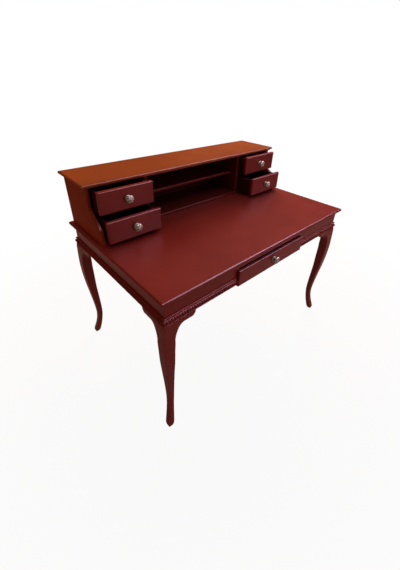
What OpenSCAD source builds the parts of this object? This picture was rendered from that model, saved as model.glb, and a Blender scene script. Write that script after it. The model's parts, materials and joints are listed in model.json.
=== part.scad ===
// Writing desk with cabriole legs and a low hutch of small drawers.
// Millimetres, +Z up, the front of the desk faces -Y, the floor is z = 0.

/* [Table] */
// Width of the table top
top_w = 1300; // [1200:10:1500]
// Depth of the table top
top_d = 820; // [760:10:900]
// Height of the writing surface above the floor
desk_h = 780; // [740:5:800]
// Thickness of the table top
top_t = 24; // [20:1:30]
// Overhang of the table top past the aprons
overhang = 20; // [16:1:24]

/* [Apron] */
// Height of the apron boards
apron_h = 102; // [98:1:110]
// Thickness of the apron boards
apron_t = 22; // [18:1:26]
// Side of the square leg posts behind the aprons
post = 36; // [34:1:44]
// How far the carved strip stands out from the apron
strip_proud = 12.5; // [8:0.5:14]
// How far the knee brackets stand out from the apron
bracket_proud = 8; // [4:1:10]
// Thickness of the knee brackets
bracket_t = 24; // [18:1:28]

/* [Hutch] */
// Outside width of the hutch between its two side panels
hutch_w = 1258; // [1200:2:1280]
// Depth of the hutch from its straight front to its back
hutch_depth = 238; // [220:1:260]
// Height of the hutch above the writing surface
hutch_h = 257; // [250:1:280]
// Thickness of the side panels and partitions
panel_t = 18; // [15:1:22]
// Thickness of the hutch top
hutch_top_t = 19; // [16:1:24]
// Overhang of the hutch top on all four sides
hutch_overhang = 17; // [10:1:20]
// Clear width of the open bay between the partitions
bay_w = 644; // [600:2:700]
// Reach of the scrolled side panels in front of the hutch
scroll_reach = 92; // [70:1:110]

/* [Small drawers] */
// Thickness of every drawer front
front_t = 18; // [16:1:20]
// Gap round each small drawer front
gap = 1.5; // [1:0.5:3]
// How far the upper left drawer stands open
open_upper_left = 79; // [0:1:180]
// How far the lower left drawer stands open
open_lower_left = 132; // [0:1:180]
// How far the upper right drawer stands open
open_upper_right = 59; // [0:1:180]
// How far the lower right drawer stands open
open_lower_right = 124; // [0:1:180]

/* [Centre drawer] */
// Width of the centre drawer front
centre_w = 496; // [400:2:560]
// Height of the centre drawer front
centre_h = 82; // [76:1:84]
// Thickness of the centre drawer front
centre_t = 16; // [14:1:18]
// Length of the centre drawer box behind its front
centre_l = 380; // [300:5:450]

/* [Knobs] */
// Diameter of the knob heads
knob_d = 37; // [30:1:40]
// How far the knobs stand out from the drawer fronts
knob_out = 28; // [24:1:32]

/* [Hidden] */
DRAWERS = ["upper_left", "lower_left", "upper_right", "lower_right", "centre"];
DRAWER_PIECES = ["front", "sides", "back", "bottom", "knob", "knob_screw"];
CORNERS = ["front_left", "front_right", "back_left", "back_right"];

// Colours of the finishes
lacquer = [0.36, 0.10, 0.09];
lacquer_light = [0.55, 0.22, 0.13];
box_stain = [0.16, 0.05, 0.04];
bare_wood = [0.62, 0.47, 0.32];
pewter = [0.62, 0.58, 0.54];
steel = [0.66, 0.67, 0.69];

// Table: half sizes at the outer faces of the aprons, and heights
half_x = top_w / 2 - overhang;
half_y = top_d / 2 - overhang;
under_top = desk_h - top_t;
apron_z = under_top - apron_h;
inner_x = half_x - post;
inner_y = half_y - post;

// Moulded edges of the table top and hutch top: rounding above, cove below, and the step over the cove
table_round = 9;
table_cove = 11;
hutch_round = 7;
hutch_cove = 8;
edge_step = 2;

// Hutch: walls and levels, in front-to-back places measured from the desk's middle
hutch_set_in = 14;
hutch_back_y = top_d / 2 - hutch_set_in;
hutch_front_y = hutch_back_y - hutch_depth;
hutch_in = hutch_w / 2 - panel_t;
bay_x = bay_w / 2;
part_x = bay_x + panel_t;
base_t = 16;
base_z = desk_h + base_t;
hutch_under = desk_h + hutch_h - hutch_top_t;
back_t = 8;
divider_t = 10;
row_h = (hutch_under - base_z - divider_t) / 2;
divider_z = base_z + row_h;

// Small drawers: front, box and place
small_w = hutch_in - part_x - 2 * gap;
small_h = row_h - 2 * gap;
small_x = (hutch_in + part_x) / 2;
wall_t = 12;
bottom_t = 6;
box_inset = 7;
box_under_front = 10;
small_box_h = small_h - box_under_front;
behind_box = 4;
small_box_l = hutch_depth - front_t - back_t - behind_box;
front_round = 4;
groove_d = 5;
groove_up = 5;

// Centre drawer: its front closes a notch in the front apron and laps over the notch's ends
centre_z = apron_z - 6;
front_lap = 12;
notch_x = centre_w / 2 - front_lap;
rail_h = 21;
notch_top = under_top - rail_h;
centre_box_w = 2 * notch_x - 14;
centre_box_h = 58;
centre_box_z = apron_z + 8;
runner_ledge = 6;
overlap_gap = 0.5;

// Knob: head, stem and rosette, and its screw
stem_r = 6;
rosette_r = 15;
screw_r = 2;
screw_clear = 0.2;
centre_knob_z = centre_z + centre_h / 2 + 5;

// The origin is the middle of the whole desk's box, knobs and hutch top included
front_reach = half_y + overlap_gap + centre_t + knob_out;
back_reach = max(top_d / 2, hutch_back_y + hutch_overhang);
shift_y = (front_reach - back_reach) / 2;

module in_frame() {
    translate([0, shift_y, 0]) children();
}

// Points of an arc or ellipse quarter: centre, radii, first and last angle, number of steps
function arc(c, rx, ry, a, b, n) = [
    for (i = [0:n]) let (t = a + (b - a) * i / n) [c[0] + rx * cos(t), c[1] + ry * sin(t)]
];
function smooth(t) = t * t * (3 - 2 * t);
function flip_x(points) = [for (i = [len(points) - 1:-1:0]) [-points[i][0], points[i][1]]];

// A box from its lowest to its highest corner
module slab(low, high) {
    translate(low) cube(high - low);
}

// Cross-section of a moulded board: cove below, small step, rounded upper edge
function board_half(w, t, round_r, cove_r, step) = concat(
    arc([w / 2 - step, 0], -cove_r, cove_r, 0, 90, 8),
    [[w / 2, cove_r]],
    arc([w / 2 - round_r, t - round_r], round_r, round_r, 0, 90, 6)
);
module board_section(w, t, round_r, cove_r, step) {
    half = board_half(w, t, round_r, cove_r, step);
    polygon(concat(half, flip_x(half)));
}
// Board with the same moulded edge on all four sides, mitred at its corners
module moulded_board(w, d, t, round_r, cove_r, step) {
    intersection() {
        translate([0, d / 2, 0])
            rotate([90, 0, 0])
                linear_extrude(d) board_section(w, t, round_r, cove_r, step);
        translate([-w / 2, 0, 0])
            rotate([90, 0, 90])
                linear_extrude(w) board_section(d, t, round_r, cove_r, step);
    }
}

// Drawer front: back face on y = 0, front edges rounded on all four sides
function front_half(w, t, r) = concat([[w / 2, 0]], arc([w / 2 - r, r - t], r, r, 0, -90, 6));
module front_section(w, t, r) {
    half = front_half(w, t, r);
    polygon(concat(half, flip_x(half)));
}
module rounded_front(w, h, t, r) {
    intersection() {
        translate([0, 0, -h / 2]) linear_extrude(h) front_section(w, t, r);
        translate([-w / 2, 0, 0])
            rotate([0, 90, 0])
                linear_extrude(w) front_section(h, t, r);
    }
}

// ---- Table top

module table_top() {
    color(lacquer) in_frame() difference() {
        translate([0, 0, under_top]) moulded_board(top_w, top_d, top_t, table_round, table_cove, edge_step);
        at_corner_blocks()
            translate([top_screw, top_screw, under_top - 1])
                cylinder(r = wood_screw_r + screw_clear / 2, h = top_screw_up + 2, $fn = 24);
        dowel_holes();
    }
}

// ---- Legs

// Height as a part of the shaped length, bow of the outer corner past the apron, side of the section
leg_stations = [
    [0.000, 15.0, 22.0], [0.009, 18.5, 28.0], [0.030, 17.0, 31.0], [0.070, 10.5, 30.5],
    [0.120, 2.0, 28.5], [0.185, -6.0, 27.0], [0.260, -9.5, 28.5], [0.350, -6.5, 32.0],
    [0.460, 0.0, 37.0], [0.565, 7.0, 42.5], [0.670, 12.5, 48.5], [0.780, 15.0, 51.0],
    [0.860, 13.8, 49.8], [0.930, 12.0, 48.0], [0.985, 10.0, 46.0]
];
leg_last = len(leg_stations) - 1;
function station(i) = leg_stations[max(0, min(leg_last, i))];
// Smooth curve through four stations in turn
function between(a, b, c, d, t) = 0.5 * (
    2 * b + (c - a) * t + (2 * a - 5 * b + 4 * c - d) * t * t + (3 * b - a - 3 * c + d) * t * t * t
);
leg_rings = concat(
    [
        for (i = [0:leg_last - 1]) for (t = [0, 0.5])
            t == 0 ? station(i) : between(station(i - 1), station(i), station(i + 1), station(i + 2), t)
    ],
    [station(leg_last), [1, 0, post], [under_top / apron_z, 0, post]]
);
// One ring: a square with rounded corners whose outer corner bows along the diagonal
function leg_ring(ring) =
    let (z = ring[0] * apron_z, ox = half_x + ring[1], oy = half_y + ring[1], s = ring[2], r = s / 9)
    [
        for (q = [0:3]) for (k = [0:3])
            let (
                a = 90 * q + 30 * k,
                cx = (q == 0 || q == 3) ? ox - r : ox - s + r,
                cy = (q < 2) ? oy - r : oy - s + r
            )
            [cx + r * cos(a), cy + r * sin(a), z]
    ];
ring_n = 16;
module leg() {
    points = [for (ring = leg_rings) each leg_ring(ring)];
    top = (len(leg_rings) - 1) * ring_n;
    sides = [
        for (j = [0:len(leg_rings) - 2]) for (i = [0:ring_n - 1])
            let (a = j * ring_n + i, b = j * ring_n + (i + 1) % ring_n)
            each [[a, a + ring_n, b + ring_n], [a, b + ring_n, b]]
    ];
    polyhedron(
        points = points,
        faces = concat(sides, [[for (i = [0:ring_n - 1]) i]], [[for (i = [ring_n - 1:-1:0]) top + i]]),
        convexity = 6
    );
}
// Puts a piece made for the back right corner at the named corner
module at_corner(sx, sy) {
    mirror([sx < 0 ? 1 : 0, 0, 0]) mirror([0, sy < 0 ? 1 : 0, 0]) children();
}
module leg_at(sx, sy) {
    color(lacquer) in_frame() at_corner(sx, sy) leg();
}

// ---- Knee brackets

bracket_l = 108;
bracket_drop = 110;
nose_r = 21;
module bracket_outline() {
    // u runs from the leg's inner face along the apron, v is the height under the apron
    flat_v = -25;
    polygon(concat(
        [[0, 0], [0, -bracket_drop]],
        arc([52, -bracket_drop], -52, bracket_drop + flat_v, 0, 90, 10),
        arc([bracket_l - nose_r, flat_v + nose_r], nose_r, nose_r, -90, 0, 6),
        [[bracket_l, 0]]
    ));
}
module bracket_pair() {
    // Along the front or back apron
    translate([inner_x, half_y + bracket_proud, apron_z])
        rotate([90, 0, 0])
            linear_extrude(bracket_t) mirror([1, 0]) bracket_outline();
    // Along the side apron
    translate([half_x + bracket_proud - bracket_t, inner_y, apron_z])
        rotate([90, 0, 90])
            linear_extrude(bracket_t) mirror([1, 0]) bracket_outline();
}
module knee_brackets_at(sx, sy) {
    color(lacquer) in_frame() at_corner(sx, sy) bracket_pair();
}

// ---- Aprons

module apron_long(sy) {
    slab(
        [-inner_x, sy > 0 ? half_y - apron_t : -half_y, apron_z],
        [inner_x, sy > 0 ? half_y : apron_t - half_y, under_top]
    );
}
module apron_front() {
    color(lacquer) in_frame() difference() {
        apron_long(-1);
        slab([-notch_x, -half_y - 1, apron_z - 1], [notch_x, apron_t - half_y + 1, notch_top]);
        at_corner_blocks() side_screw_hole();
    }
}
module apron_back() {
    color(lacquer) in_frame() difference() {
        apron_long(1);
        at_corner_blocks() side_screw_hole();
    }
}
module apron_side(sx) {
    color(lacquer) in_frame() difference() {
        slab(
            [sx > 0 ? half_x - apron_t : -half_x, -inner_y, apron_z],
            [sx > 0 ? half_x : apron_t - half_x, inner_y, under_top]
        );
        at_corner_blocks() end_screw_hole();
    }
}

// ---- Apron mouldings: a bead over a carved strip over a thin strand

bead_c = 33.5;
bead_out = 7;
bead_r = 4.6;
strip_c = 17;
strip_r = 10;
strand_r = 3.5;
strand_out = 0.72 * strip_proud;
flat_out = 3;
mitre_reach = 30;
module moulding_section() {
    polygon(concat(
        [[0, 0]],
        arc([0, strand_r], strand_out, strand_r, -90, 62, 6),
        arc([0, strip_c], strip_proud, strip_r, -68, 68, 10),
        [[flat_out, strip_c + strip_r + 0.5], [flat_out, bead_c - bead_r]],
        arc([0, bead_c], bead_out, bead_r, -60, 90, 6)
    ));
}
// A strip along x, with its back on y = 0 and mitred at both ends
module mitred_strip(len) {
    intersection() {
        translate([-len, 0, 0])
            rotate([90, 0, 90])
                linear_extrude(2 * len) moulding_section();
        linear_extrude(2 * bead_c) polygon([
            [-len / 2, 0], [len / 2, 0],
            [len / 2 + mitre_reach, mitre_reach], [-len / 2 - mitre_reach, mitre_reach]
        ]);
    }
}
module moulding_back() {
    color(lacquer) in_frame() translate([0, half_y, apron_z]) mitred_strip(2 * half_x);
}
module moulding_front() {
    color(lacquer) in_frame() difference() {
        translate([0, -half_y, apron_z]) mirror([0, 1, 0]) mitred_strip(2 * half_x);
        slab(
            [-centre_w / 2 - 1, -half_y - mitre_reach, apron_z - 1],
            [centre_w / 2 + 1, -half_y + 1, under_top]
        );
    }
}
module moulding_side(sx) {
    color(lacquer) in_frame()
        translate([sx * half_x, 0, apron_z])
            rotate([0, 0, -90 * sx])
                mitred_strip(2 * half_y);
}

// ---- Corner blocks and screws

block_leg = 64;
block_h = 60;
top_screw = 27;
side_screw = 44;
screw_in = 14;
side_screw_z = under_top - 40;
end_screw_z = under_top - 22;
pocket_in = 20;
top_screw_up = 14;
wood_screw_r = 2.2;
head_r = 4.5;
head_h = 2.5;
// Places a piece made for the back right corner, with its zero at the aprons' inner corner
module at_corner_blocks() {
    for (sx = [-1, 1]) for (sy = [-1, 1])
        at_corner(sx, sy)
            translate([half_x - apron_t, half_y - apron_t, 0])
                mirror([1, 0, 0]) mirror([0, 1, 0]) children();
}
post_in = post - apron_t;
module corner_block() {
    difference() {
        translate([0, 0, under_top - block_h])
            linear_extrude(block_h) polygon([
                [post_in, 0], [post_in + block_leg, 0], [0, post_in + block_leg],
                [0, post_in], [post_in, post_in]
            ]);
        translate([top_screw, top_screw, under_top - block_h - 1])
            cylinder(r = wood_screw_r + screw_clear / 2, h = block_h + 2, $fn = 24);
        side_screw_hole();
        end_screw_hole();
    }
}
module corner_blocks() {
    color(bare_wood) in_frame() at_corner_blocks() corner_block();
}
module side_screw_hole() {
    translate([side_screw, -screw_in, side_screw_z])
        rotate([-90, 0, 0]) {
            cylinder(r = wood_screw_r + screw_clear / 2, h = 80, $fn = 24);
            translate([0, 0, screw_in + pocket_in]) cylinder(r = head_r + 0.5, h = 60, $fn = 24);
        }
}
module end_screw_hole() {
    translate([-screw_in, side_screw, end_screw_z])
        rotate([0, 90, 0]) {
            cylinder(r = wood_screw_r + screw_clear / 2, h = 80, $fn = 24);
            translate([0, 0, screw_in + pocket_in]) cylinder(r = head_r + 0.5, h = 60, $fn = 24);
        }
}
module wood_screw(len) {
    cylinder(r = wood_screw_r, h = len, $fn = 24);
    translate([0, 0, len]) cylinder(r = head_r, h = head_h, $fn = 24);
}
module assembly_screws() {
    color(steel) in_frame() at_corner_blocks() {
        translate([side_screw, 0.5 - screw_in, side_screw_z])
            rotate([-90, 0, 0]) wood_screw(screw_in + pocket_in - 0.5);
        translate([0.5 - screw_in, side_screw, end_screw_z])
            rotate([0, 90, 0]) wood_screw(screw_in + pocket_in - 0.5);
        translate([top_screw, top_screw, under_top + top_screw_up])
            rotate([180, 0, 0]) wood_screw(block_h + top_screw_up);
    }
}

// ---- Runners of the centre drawer

// Each is a board on edge with a ledge at its foot that carries one side of the drawer box
module centre_runners() {
    inside = centre_box_w / 2 + 3;
    half_t = 12;
    ledge_z = centre_box_z - 0.5;
    end_y = half_y - apron_t;
    color(bare_wood) in_frame() for (side = [0, 1]) mirror([side, 0, 0]) difference() {
        slab([inside - half_t, -end_y, ledge_z - runner_ledge], [inside + half_t, end_y, under_top]);
        slab([0, -end_y - 1, ledge_z], [inside, end_y + 1, under_top + 1]);
    }
}

// ---- Hutch

dowel_r = 4;
dowel_from_edge = 50;
dowel_deep = 15;
dowel_up = 12;
dowel_gap = 0.5;
dowel_clear = 0.05;
module at_dowels() {
    for (sx = [-1, 1]) for (y = [hutch_front_y + dowel_from_edge, hutch_back_y - dowel_from_edge])
        translate([sx * (hutch_in - dowel_from_edge), y, 0]) children();
}
module dowel_holes() {
    at_dowels() translate([0, 0, desk_h - dowel_deep - dowel_gap])
        cylinder(r = dowel_r + dowel_clear, h = dowel_deep + dowel_up + 2 * dowel_gap, $fn = 32);
}
module hutch_dowels() {
    color(bare_wood) in_frame() at_dowels()
        translate([0, 0, desk_h - dowel_deep]) cylinder(r = dowel_r, h = dowel_deep + dowel_up, $fn = 32);
}
module hutch_base() {
    color(lacquer) in_frame() difference() {
        slab([-hutch_in, hutch_front_y, desk_h], [hutch_in, hutch_back_y - back_t, base_z]);
        dowel_holes();
    }
}
// Front edge of a side panel: straight, then a scroll that reaches forward, then down to the top
scroll_top = desk_h + 152;
scroll_low = desk_h + 58;
scroll_lip = 4;
scroll_foot = 12;
module side_outline() {
    polygon(concat(
        [[hutch_back_y, desk_h], [hutch_back_y, hutch_under], [hutch_front_y, hutch_under]],
        [
            for (i = [0:12]) let (t = i / 12)
                [
                    hutch_front_y - (scroll_reach - scroll_lip) * smooth(t),
                    scroll_top + (scroll_low - scroll_top) * t
                ]
        ],
        [[hutch_front_y - scroll_reach, desk_h + scroll_foot], [hutch_front_y - scroll_reach, desk_h]]
    ));
}
module hutch_side(sx) {
    color(lacquer_light) in_frame()
        translate([sx > 0 ? hutch_in : -hutch_w / 2, 0, 0])
            rotate([90, 0, 90]) linear_extrude(panel_t) side_outline();
}
module hutch_partition(sx) {
    color(lacquer) in_frame()
        slab(
            [sx > 0 ? bay_x : -part_x, hutch_front_y, base_z],
            [sx > 0 ? part_x : -bay_x, hutch_back_y - back_t, hutch_under]
        );
}
shelf_t = 15;
shelf_top = desk_h + 140;
shelf_front_y = hutch_front_y + 43;
module hutch_shelf() {
    color(lacquer) in_frame()
        slab([-bay_x, shelf_front_y, shelf_top - shelf_t], [bay_x, hutch_back_y - back_t, shelf_top]);
}
module drawer_dividers() {
    color(lacquer) in_frame() for (s = [-1, 1])
        slab(
            [s > 0 ? part_x : -hutch_in, hutch_front_y + 2, divider_z],
            [s > 0 ? hutch_in : -part_x, hutch_back_y - back_t, divider_z + divider_t]
        );
}
module hutch_back() {
    color(box_stain) in_frame()
        slab([-hutch_in, hutch_back_y - back_t, desk_h], [hutch_in, hutch_back_y, hutch_under]);
}
module hutch_top() {
    color(lacquer_light) in_frame()
        translate([0, hutch_back_y - hutch_depth / 2, hutch_under])
            moulded_board(
                hutch_w + 2 * hutch_overhang, hutch_depth + 2 * hutch_overhang, hutch_top_t,
                hutch_round, hutch_cove, edge_step
            );
}

// ---- Drawers

function is_left(d) = d == "upper_left" || d == "lower_left";
function is_upper(d) = d == "upper_left" || d == "upper_right";
function opening(d) =
    d == "upper_left" ? open_upper_left :
    d == "lower_left" ? open_lower_left :
    d == "upper_right" ? open_upper_right :
    d == "lower_right" ? open_lower_right : 0;

// Place of the middle of a drawer front's back face
function front_place(d) =
    d == "centre" ? [0, -half_y - overlap_gap, centre_z + centre_h / 2] :
    [
        is_left(d) ? -small_x : small_x,
        hutch_front_y + front_t - opening(d),
        (is_upper(d) ? divider_z + divider_t : base_z) + gap + small_h / 2
    ];
function front_size(d) = d == "centre" ? [centre_w, centre_t, centre_h] : [small_w, front_t, small_h];
// Box behind the front: width, length, height, and its bottom under the front's middle
function box_size(d) =
    d == "centre" ? [centre_box_w, centre_l, centre_box_h] :
    [small_w - 2 * box_inset, small_box_l, small_box_h];
function box_low(d) =
    d == "centre" ? centre_box_z - centre_z - centre_h / 2 : 0.5 - gap - small_h / 2;
function knob_z(d) = d == "centre" ? centre_knob_z - centre_z - centre_h / 2 : 0;

module at_drawer(d) {
    in_frame() translate(front_place(d)) children();
}
module drawer_front(d) {
    size = front_size(d);
    color(lacquer) at_drawer(d) difference() {
        rounded_front(size[0], size[2], size[1], front_round);
        translate([0, 1, knob_z(d)])
            rotate([90, 0, 0]) cylinder(r = screw_r + screw_clear, h = size[1] + 2, $fn = 24);
    }
}
module drawer_sides(d) {
    size = box_size(d);
    color(box_stain) at_drawer(d) for (s = [-1, 1]) difference() {
        slab(
            [s > 0 ? size[0] / 2 - wall_t : -size[0] / 2, 0, box_low(d)],
            [s > 0 ? size[0] / 2 : wall_t - size[0] / 2, size[1], box_low(d) + size[2]]
        );
        bottom_board(d, 1);
    }
}
// The bottom sits in a groove cut into both sides, a little above their lower edges
module bottom_board(d, past) {
    size = box_size(d);
    slab(
        [wall_t - groove_d - size[0] / 2, -past, box_low(d) + groove_up],
        [size[0] / 2 - wall_t + groove_d, size[1] + past, box_low(d) + groove_up + bottom_t]
    );
}
module drawer_back(d) {
    size = box_size(d);
    color(box_stain) at_drawer(d)
        slab(
            [wall_t - size[0] / 2, size[1] - wall_t, box_low(d) + groove_up + bottom_t],
            [size[0] / 2 - wall_t, size[1], box_low(d) + size[2]]
        );
}
module drawer_bottom(d) {
    color(box_stain) at_drawer(d) bottom_board(d, 0);
}
// Knob turned about its own axis: petalled rosette, slim stem and round domed head
module knob_turning() {
    rotate_extrude($fn = 48) difference() {
        polygon(concat(
            [[0, 0], [rosette_r, 0]],
            arc([rosette_r - 3, 0], 3, 3, 0, 90, 3),
            arc([rosette_r - 3, 9], -6, -6, 90, 0, 4),
            arc([stem_r + 3, 10], -3, 3, 0, 60, 3),
            [[knob_d / 2 - 2, 15.5], [knob_d / 2, 17.5], [knob_d / 2, 20]],
            arc([0, 20], knob_d / 2 - 1, knob_out - 20, 12, 90, 8)
        ));
        square([screw_r + 0.05, 14]);
    }
}
module drawer_knob(d) {
    color(pewter) at_drawer(d)
        translate([0, -front_size(d)[1], knob_z(d)]) rotate([90, 0, 0]) knob_turning();
}
module drawer_knob_screw(d) {
    color(steel) at_drawer(d) translate([0, 0, knob_z(d)]) rotate([90, 0, 0]) {
        cylinder(r = screw_r, h = front_size(d)[1] + 13, $fn = 24);
        translate([0, 0, -head_h]) cylinder(r = head_r, h = head_h, $fn = 24);
    }
}
module drawer_piece(d, p) {
    if (p == "front") drawer_front(d);
    if (p == "sides") drawer_sides(d);
    if (p == "back") drawer_back(d);
    if (p == "bottom") drawer_bottom(d);
    if (p == "knob") drawer_knob(d);
    if (p == "knob_screw") drawer_knob_screw(d);
}

table_top();
apron_front();
apron_back();
apron_side(-1);  // apron_left
apron_side(1);  // apron_right
leg_at(-1, -1);  // leg_front_left
leg_at(1, -1);  // leg_front_right
leg_at(-1, 1);  // leg_back_left
leg_at(1, 1);  // leg_back_right
knee_brackets_at(-1, -1);  // knee_brackets_front_left
knee_brackets_at(1, -1);  // knee_brackets_front_right
knee_brackets_at(-1, 1);  // knee_brackets_back_left
knee_brackets_at(1, 1);  // knee_brackets_back_right
moulding_front();
moulding_back();
moulding_side(-1);  // moulding_left
moulding_side(1);  // moulding_right
corner_blocks();
assembly_screws();
centre_runners();
hutch_base();
hutch_side(-1);  // hutch_side_left
hutch_side(1);  // hutch_side_right
hutch_partition(-1);  // hutch_partition_left
hutch_partition(1);  // hutch_partition_right
hutch_shelf();
drawer_dividers();
hutch_back();
hutch_top();
hutch_dowels();
for (d = DRAWERS) for (p = DRAWER_PIECES)
    drawer_piece(d, p);
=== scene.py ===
"""Finishes and carved pieces of a writing desk with cabriole legs and a low hutch of drawers."""

import json
import math

import bmesh
import bpy
import numpy as np
from mathutils import Matrix, Vector


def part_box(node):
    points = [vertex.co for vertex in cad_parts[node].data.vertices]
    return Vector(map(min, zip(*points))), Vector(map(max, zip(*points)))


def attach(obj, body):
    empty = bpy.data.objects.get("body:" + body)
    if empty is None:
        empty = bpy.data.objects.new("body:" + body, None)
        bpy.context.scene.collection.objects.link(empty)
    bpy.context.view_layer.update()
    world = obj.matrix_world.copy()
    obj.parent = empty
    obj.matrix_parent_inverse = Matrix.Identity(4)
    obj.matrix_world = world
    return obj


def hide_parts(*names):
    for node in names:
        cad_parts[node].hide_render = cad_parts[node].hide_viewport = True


bl_info = {
    "name": "Writing Desk with Hutch",
    "version": (1, 0, 0),
    "blender": (4, 5, 0),
    "location": "View3D > Sidebar > Desk",
    "description": "Builds the lacquered boards, carved strips, cabriole legs and knobs of a writing desk",
    "category": "Object",
}

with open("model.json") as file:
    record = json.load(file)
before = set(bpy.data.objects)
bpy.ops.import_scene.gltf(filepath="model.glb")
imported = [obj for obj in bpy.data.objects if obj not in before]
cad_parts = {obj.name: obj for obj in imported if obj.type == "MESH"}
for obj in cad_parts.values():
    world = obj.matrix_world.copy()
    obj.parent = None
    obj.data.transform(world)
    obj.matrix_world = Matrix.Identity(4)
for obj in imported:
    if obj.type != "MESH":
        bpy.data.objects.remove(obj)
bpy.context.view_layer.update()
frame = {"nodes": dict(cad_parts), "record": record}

MM = 0.001
CORNERS = ("front_left", "front_right", "back_left", "back_right")
SMALL_DRAWERS = ("upper_left", "lower_left", "upper_right", "lower_right")
DRAWERS = SMALL_DRAWERS + ("centre",)
BODY_OF = {
    node: body
    for body, nodes in frame["record"]["behaviour"]["bodies"].items()
    for node in nodes
}


# ---- Places read from the frame


def low_high(node):
    """Lowest and highest corner of a node at rest, as arrays in metres."""
    low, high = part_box(node)
    return np.array(low), np.array(high)


APRON_LOW, APRON_HIGH = low_high("apron_front")
BACK_LOW, BACK_HIGH = low_high("apron_back")
_, RIGHT_HIGH = low_high("apron_right")
HALF_X = RIGHT_HIGH[0]
HALF_Y = (BACK_HIGH[1] - APRON_LOW[1]) / 2
MIDDLE_Y = (BACK_HIGH[1] + APRON_LOW[1]) / 2
APRON_Z = APRON_LOW[2]
UNDER_TOP = APRON_HIGH[2]
POST = HALF_X - APRON_HIGH[0]


# ---- Settings that a user would change


class DeskSizes(bpy.types.PropertyGroup):
    """Small sizes of the finish, in metres."""

    edge_radius: bpy.props.FloatProperty(
        name="Board edge radius",
        description="Radius of the eased edges of plain boards",
        default=0.0025,
        min=0.0005,
        max=0.005,
        unit="LENGTH",
    )
    front_radius: bpy.props.FloatProperty(
        name="Drawer front radius",
        description="Radius of the rounded edges of the drawer fronts",
        default=0.005,
        min=0.002,
        max=0.007,
        unit="LENGTH",
    )
    nub_pitch: bpy.props.FloatProperty(
        name="Carving pitch",
        description="Distance between neighbouring nubs of the carved strip",
        default=0.0125,
        min=0.008,
        max=0.02,
        unit="LENGTH",
    )
    nub_depth: bpy.props.FloatProperty(
        name="Carving depth",
        description="Part of the strip's height that the cuts between nubs take away",
        default=0.5,
        min=0.1,
        max=0.8,
        subtype="FACTOR",
    )
    nub_slant: bpy.props.FloatProperty(
        name="Carving slant",
        description="Lean of the nubs over the height of the strip, in pitches",
        default=0.35,
        min=-1.0,
        max=1.0,
    )
    petals: bpy.props.IntProperty(
        name="Knob petals",
        description="Number of petals of the flower on each knob",
        default=6,
        min=4,
        max=10,
    )


def colour_property(name, description, default):
    """A linear colour that a user can pick."""
    return bpy.props.FloatVectorProperty(
        name=name, description=description, default=default, size=3, min=0.0, max=1.0, subtype="COLOR"
    )


class DeskColours(bpy.types.PropertyGroup):
    """Colours of the finishes, linear."""

    lacquer: colour_property("Lacquer", "Body colour of the mahogany lacquer", (0.280, 0.034, 0.023))
    lacquer_deep: colour_property("Deep lacquer", "Darker drifts of the lacquer", (0.215, 0.019, 0.014))
    # Painted light: the hutch top's lacquer is lighter and more orange, for the warm light falling on it.
    lacquer_painted_light_top: colour_property("Warm lacquer", "Lacquer of the hutch top", (0.380, 0.080, 0.013))
    # Painted light: the hutch sides' lacquer is a deep orange, for the warm light on the sides.
    lacquer_painted_light_side: colour_property("Side lacquer", "Lacquer of the hutch sides", (0.360, 0.046, 0.006))
    # Painted shade: the boards inside the hutch are darker, for the shade in the hutch.
    lacquer_painted_shade_inner: colour_property("Inner lacquer", "Thin dark coat inside the hutch", (0.145, 0.017, 0.012))
    # Partly painted shade: this dark stain also stands for the shade deep in the hutch and the drawers.
    box_dark_stain_and_painted_shade: colour_property("Box stain", "Dark stain inside the drawers", (0.030, 0.0055, 0.004))
    bare_wood: colour_property("Bare wood", "Unfinished wood under the top", (0.420, 0.270, 0.150))
    pewter: colour_property("Pewter", "Raised parts of the knobs", (0.620, 0.600, 0.440))
    pewter_dark: colour_property("Aged pewter", "Hollows of the knobs", (0.100, 0.085, 0.055))
    steel: colour_property("Steel", "Screws", (0.560, 0.560, 0.570))
    floor: colour_property("Floor", "Pale studio floor", (0.86, 0.86, 0.86))


def sizes():
    """The size settings of the scene."""
    return bpy.context.scene.desk_sizes


def colours():
    """The colour settings of the scene."""
    return bpy.context.scene.desk_colours


# ---- Surfaces


def loft(rings, caps=True):
    """Joins closed rings, an array (rows, points, 3), by quads, with a flat cap on the first and last."""
    rows, count = rings.shape[:2]
    j = np.arange(rows - 1)[:, None]
    i = np.arange(count)[None, :]
    nxt = (i + 1) % count
    quads = np.stack(
        [j * count + i, j * count + nxt, (j + 1) * count + nxt, (j + 1) * count + i], axis=-1
    ).reshape(-1, 4)
    faces = quads.tolist()
    if caps:
        faces.append(list(range(count - 1, -1, -1)))
        faces.append(list(range((rows - 1) * count, rows * count)))
    return rings.reshape(-1, 3), faces


def make_piece(name, shells, material, node, also=(), sharp=32.0):
    """Makes one mesh of closed shells, turns its faces outwards and puts it in a node's place."""
    points = []
    faces = []
    start = 0
    for shell_points, shell_faces in shells:
        points.append(shell_points)
        faces += [[start + k for k in face] for face in shell_faces]
        start += len(shell_points)
    mesh = bpy.data.meshes.new(name)
    mesh.from_pydata(np.concatenate(points).tolist(), [], faces)
    work = bmesh.new()
    work.from_mesh(mesh)
    bmesh.ops.remove_doubles(work, verts=work.verts, dist=1e-6)
    bmesh.ops.recalc_face_normals(work, faces=work.faces)
    work.to_mesh(mesh)
    work.free()
    mesh.shade_smooth()
    mesh.set_sharp_from_angle(angle=math.radians(sharp))
    mesh.materials.append(material)
    piece = bpy.data.objects.new(name, mesh)
    piece.modifiers.new("flat_faces", "WEIGHTED_NORMAL").keep_sharp = True
    bpy.context.scene.collection.objects.link(piece)
    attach(piece, BODY_OF[node])
    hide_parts(node, *also)
    return piece


def finish_node(node, material):
    """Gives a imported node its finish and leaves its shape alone."""
    thing = frame["nodes"][node]
    if not thing.material_slots:
        thing.data.materials.append(material)
    for place in thing.material_slots:
        place.material = material


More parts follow.
